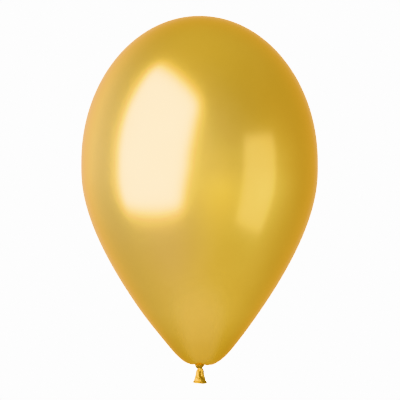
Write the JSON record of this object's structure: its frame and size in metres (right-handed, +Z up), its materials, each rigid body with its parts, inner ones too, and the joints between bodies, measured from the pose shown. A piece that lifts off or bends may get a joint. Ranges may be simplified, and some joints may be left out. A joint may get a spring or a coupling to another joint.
{
  "type": "latex balloon",
  "caption": "Inflated teardrop-shaped latex balloon with a knotted neck, a tie groove under the knot and a flared tail with a rolled bead at its mouth.",
  "frame": {"origin": "on the balloon's axis, in the middle of the tie groove, which is the narrow waist under the knot", "axes": "+Z up along the axis to the crown, +X along the wide side of the flattened tail, -Y towards the front"},
  "size_m": [0.28, 0.28, 0.4347],
  "materials": {
    "stretched_film": "gloss",
    "gathered_film": "satin",
    "rolled_film": "satin"
  },
  "bodies": {
    "knot": {"knot_turn": "gathered_film", "neck_strand": "gathered_film"},
    "collar": {"neck_collar": "gathered_film"},
    "envelope": {"envelope": "stretched_film"},
    "throat": {"tail_throat": "gathered_film"},
    "tail": {"tail_skirt": "gathered_film", "mouth_bead": "rolled_film"}
  },
  "joints": [
    {"name": "neck_twist", "type": "hinge", "parent": "knot", "child": "collar", "pos_m": [0, 0, 0.0046], "axis": [0, 0, 1], "range_deg": [-90, 90], "stiffness_Nm_per_rad": 0.005},
    {"name": "neck_bend", "type": "hinge", "parent": "collar", "child": "envelope", "pos_m": [0, 0, 0.0046], "axis": [0, 1, 0], "range_deg": [-30, 30], "stiffness_Nm_per_rad": 0.05},
    {"name": "tail_sway", "type": "hinge", "parent": "knot", "child": "throat", "pos_m": [0, 0, 0.001], "axis": [0, 1, 0], "range_deg": [-15, 15], "stiffness_Nm_per_rad": 0.0004},
    {"name": "tail_flap", "type": "hinge", "parent": "throat", "child": "tail", "pos_m": [0, 0, -0.0033], "axis": [1, 0, 0], "range_deg": [-50, 50], "stiffness_Nm_per_rad": 0.0003}
  ]
}
